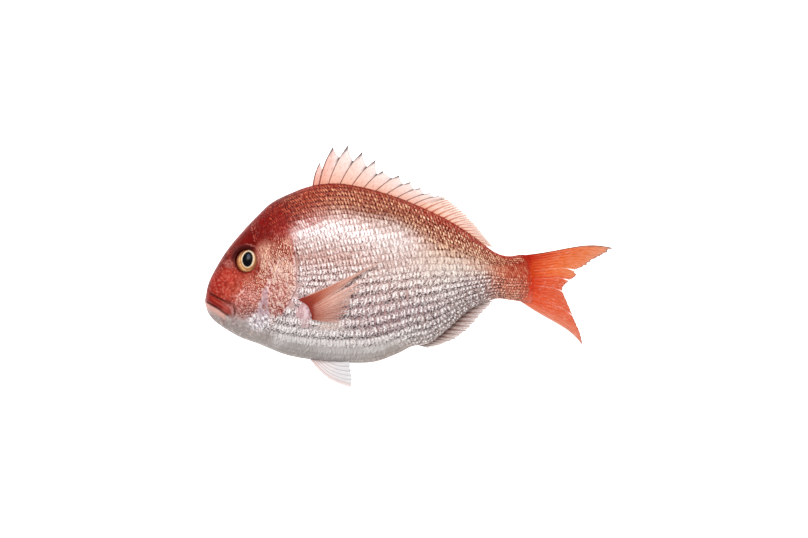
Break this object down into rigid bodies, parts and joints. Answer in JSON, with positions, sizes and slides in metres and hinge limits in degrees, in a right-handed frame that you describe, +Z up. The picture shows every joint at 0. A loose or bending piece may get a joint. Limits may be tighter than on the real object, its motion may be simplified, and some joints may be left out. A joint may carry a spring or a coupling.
{
  "type": "whole raw fish",
  "caption": "Whole raw red sea bream lying on its side, with a deep scaled body, spiny back fin and forked tail.",
  "frame": {"origin": "Centre of the bounds in plan, on the table the fish lies on", "axes": "+Z up through the shown left flank, +X from the head to the tail, +Y towards the back fin"},
  "size_m": [0.3501, 0.2076, 0.0571],
  "materials": {
    "skin": "wet scaled skin, red on the back and head, silver pink on the flank, pale grey below",
    "eye": "clear wet eye, black pupil in a cream and gold iris",
    "fin_web": "thin wet pink orange web on fine rays",
    "tail_fin": "orange red web on fine rays",
    "pale_fin": "whitish pink web on fine rays"
  },
  "bodies": {
    "root": {"body": "skin", "eye_left": "eye", "eye_right": "eye", "dorsal_fin": "fin_web", "anal_fin": "pale_fin", "caudal_fin": "tail_fin", "pectoral_fin_left": "fin_web", "pectoral_fin_right": "fin_web", "pelvic_fin_left": "pale_fin", "pelvic_fin_right": "pale_fin"}
  },
  "joints": []
}
